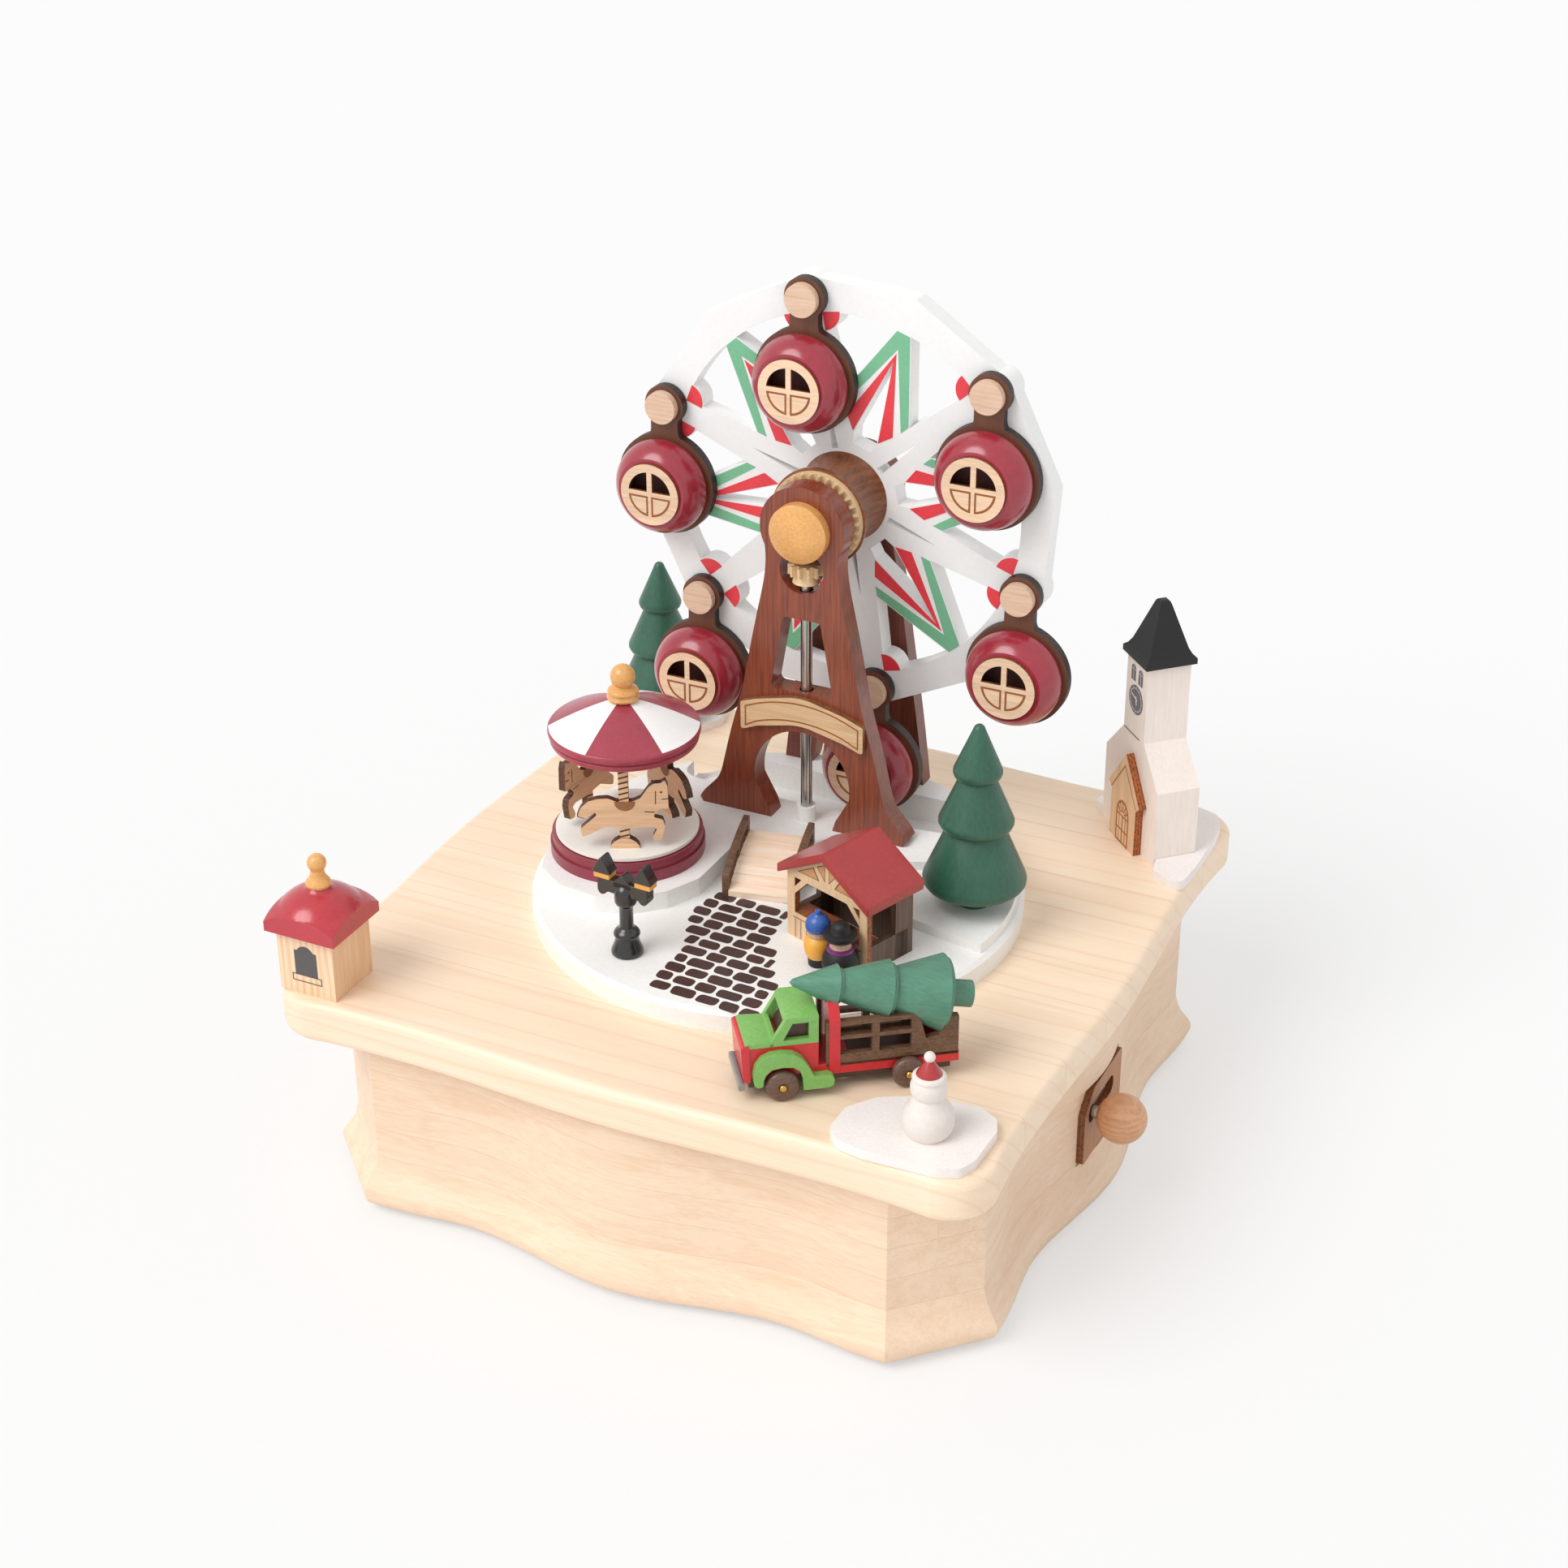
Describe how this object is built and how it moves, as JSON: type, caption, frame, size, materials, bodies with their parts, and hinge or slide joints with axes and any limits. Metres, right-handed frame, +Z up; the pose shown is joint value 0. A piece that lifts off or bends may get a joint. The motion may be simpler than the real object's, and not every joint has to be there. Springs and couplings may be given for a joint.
{
  "type": "ferris wheel music box",
  "caption": "Wind-up wooden music box with a geared ferris wheel, a turning carousel and a truck carried round a snowy fair on a coved base.",
  "frame": {"origin": "middle of the base footprint, on the surface that the foot pads rest on", "axes": "+X to the right along the front, +Y to the back, +Z up"},
  "size_m": [0.2307, 0.2196, 0.2444],
  "materials": {
    "beech": "satin",
    "brass": "plain",
    "felt": "felt",
    "gear_plastic": "moulded",
    "gold_paint": "metallic paint",
    "maple": "satin clear lacquer",
    "painted_black": "satin paint",
    "painted_green": "satin paint",
    "painted_maroon": "gloss paint",
    "painted_red": "satin paint",
    "painted_white": "matte paint",
    "plywood": "bare, burnt edges",
    "sapele": "oiled",
    "steel": "plain",
    "walnut": "oiled"
  },
  "bodies": {
    "base": {"base_body": "maple", "foot_pads": "felt", "top_plate": "maple", "bottom_board": "plywood", "bottom_screws": "steel", "lever_plate": "plywood", "movement_bedplate": "steel", "music_comb": "steel", "snow_island": "painted_white", "bridge": "plywood", "front_frame": "sapele", "rear_frame": "sapele", "arched_plaque": "plywood", "wheel_axle": "steel", "frame_cap": "gold_paint", "carousel_base": "painted_maroon", "street_lamp": "painted_black", "stall_house": "plywood", "stall_roof": "painted_red", "figures": "beech", "trees": "painted_green", "corner_plates": "painted_white", "snowman": "painted_white", "church": "painted_white", "booth": "beech"},
    "wheel": {"wheel": "painted_white", "hub_spool": "walnut", "crown_gear": "gear_plastic", "wheel_pegs": "beech"},
    "drive": {"drive_rod": "steel", "rod_gear": "gear_plastic", "pinion": "gear_plastic"},
    "center": {"center_gear": "gear_plastic", "magnet_arm": "steel"},
    "carousel": {"carousel_gear": "gear_plastic", "carousel_disc": "painted_white", "carousel_roof": "painted_maroon", "carousel_horses": "plywood"},
    "mainspring": {"spring_barrel": "brass"},
    "music": {"music_cylinder": "brass"},
    "fan": {"governor": "brass"},
    "key": {"winding_key": "steel"},
    "lever": {"brake_lever": "steel", "lever_knob": "beech"},
    "truck": {"truck_body": "painted_red", "truck_tree": "painted_green"},
    "truck_front": {"truck_front_wheels": "walnut"},
    "truck_rear": {"truck_rear_wheels": "walnut"},
    "gondola_1_body": {"hanger_1": "walnut", "gondola_1": "painted_maroon"},
    "gondola_2_body": {"hanger_2": "walnut", "gondola_2": "painted_maroon"},
    "gondola_3_body": {"hanger_3": "walnut", "gondola_3": "painted_maroon"},
    "gondola_4_body": {"hanger_4": "walnut", "gondola_4": "painted_maroon"},
    "gondola_5_body": {"hanger_5": "walnut", "gondola_5": "painted_maroon"},
    "gondola_6_body": {"hanger_6": "walnut", "gondola_6": "painted_maroon"}
  },
  "joints": [
    {"name": "wheel_spin", "type": "hinge", "parent": "base", "child": "wheel", "pos_m": [-0.004, 0.05, 0.17815], "axis": [0, 1, 0], "continuous": true},
    {"name": "rod_spin", "type": "hinge", "parent": "base", "child": "drive", "pos_m": [-0.004, 0.0277, 0.1], "axis": [0, 0, 1], "continuous": true},
    {"name": "center_spin", "type": "hinge", "parent": "base", "child": "center", "pos_m": [0, 0, 0.05], "axis": [0, 0, 1], "continuous": true},
    {"name": "carousel_spin", "type": "hinge", "parent": "base", "child": "carousel", "pos_m": [-0.04493, -0.00988, 0.09], "axis": [0, 0, 1], "continuous": true},
    {"name": "mainspring_spin", "type": "hinge", "parent": "base", "child": "mainspring", "pos_m": [0.018, -0.03118, 0.04], "axis": [0, 0, 1], "continuous": true},
    {"name": "cylinder_spin", "type": "hinge", "parent": "base", "child": "music", "pos_m": [0.0385, -0.03118, 0.04466], "axis": [1, 0, 0], "continuous": true},
    {"name": "governor_spin", "type": "hinge", "parent": "base", "child": "fan", "pos_m": [0.0775, -0.04118, 0.035], "axis": [0, 0, 1], "continuous": true},
    {"name": "truck_circle", "type": "hinge", "parent": "base", "child": "truck", "pos_m": [0, 0, 0.0699], "axis": [0, 0, 1], "continuous": true},
    {"name": "key_turn", "type": "hinge", "parent": "base", "child": "key", "pos_m": [0.018, -0.03118, 0.01], "axis": [0, 0, 1], "continuous": true},
    {"name": "lever_swing", "type": "hinge", "parent": "base", "child": "lever", "pos_m": [0.06, -0.011, 0.0324], "axis": [0, 0, 1], "range_deg": [0, 11]},
    {"name": "front_wheels_roll", "type": "hinge", "parent": "truck", "child": "truck_front", "pos_m": [0.04083, -0.0854, 0.07455], "axis": [0.592, -0.8059, 0], "continuous": true},
    {"name": "rear_wheels_roll", "type": "hinge", "parent": "truck", "child": "truck_rear", "pos_m": [0.06823, -0.06527, 0.07455], "axis": [0.592, -0.8059, 0], "continuous": true},
    {"name": "gondola_1_swing", "type": "hinge", "parent": "wheel", "child": "gondola_1_body", "pos_m": [0.04218, 0.0512, 0.21801], "axis": [0, 1, 0], "continuous": true},
    {"name": "gondola_2_swing", "type": "hinge", "parent": "wheel", "child": "gondola_2_body", "pos_m": [-0.01543, 0.0512, 0.23807], "axis": [0, 1, 0], "continuous": true},
    {"name": "gondola_3_swing", "type": "hinge", "parent": "wheel", "child": "gondola_3_body", "pos_m": [-0.06161, 0.0512, 0.19821], "axis": [0, 1, 0], "continuous": true},
    {"name": "gondola_4_swing", "type": "hinge", "parent": "wheel", "child": "gondola_4_body", "pos_m": [-0.05018, 0.0512, 0.13829], "axis": [0, 1, 0], "continuous": true},
    {"name": "gondola_5_swing", "type": "hinge", "parent": "wheel", "child": "gondola_5_body", "pos_m": [0.00743, 0.0512, 0.11823], "axis": [0, 1, 0], "continuous": true},
    {"name": "gondola_6_swing", "type": "hinge", "parent": "wheel", "child": "gondola_6_body", "pos_m": [0.05361, 0.0512, 0.15809], "axis": [0, 1, 0], "continuous": true}
  ],
  "couplings": [
    {"joint": "rod_spin", "follows": "wheel_spin", "ratio": 2.6667},
    {"joint": "center_spin", "follows": "wheel_spin", "ratio": -2},
    {"joint": "carousel_spin", "follows": "wheel_spin", "ratio": 1.0667},
    {"joint": "mainspring_spin", "follows": "wheel_spin", "ratio": 1.6},
    {"joint": "cylinder_spin", "follows": "wheel_spin", "ratio": 6.4},
    {"joint": "governor_spin", "follows": "wheel_spin", "ratio": 12.8},
    {"joint": "truck_circle", "follows": "wheel_spin", "ratio": -2},
    {"joint": "gondola_1_swing", "follows": "wheel_spin", "ratio": -1},
    {"joint": "gondola_2_swing", "follows": "wheel_spin", "ratio": -1},
    {"joint": "gondola_3_swing", "follows": "wheel_spin", "ratio": -1},
    {"joint": "gondola_4_swing", "follows": "wheel_spin", "ratio": -1},
    {"joint": "gondola_5_swing", "follows": "wheel_spin", "ratio": -1},
    {"joint": "gondola_6_swing", "follows": "wheel_spin", "ratio": -1}
  ]
}
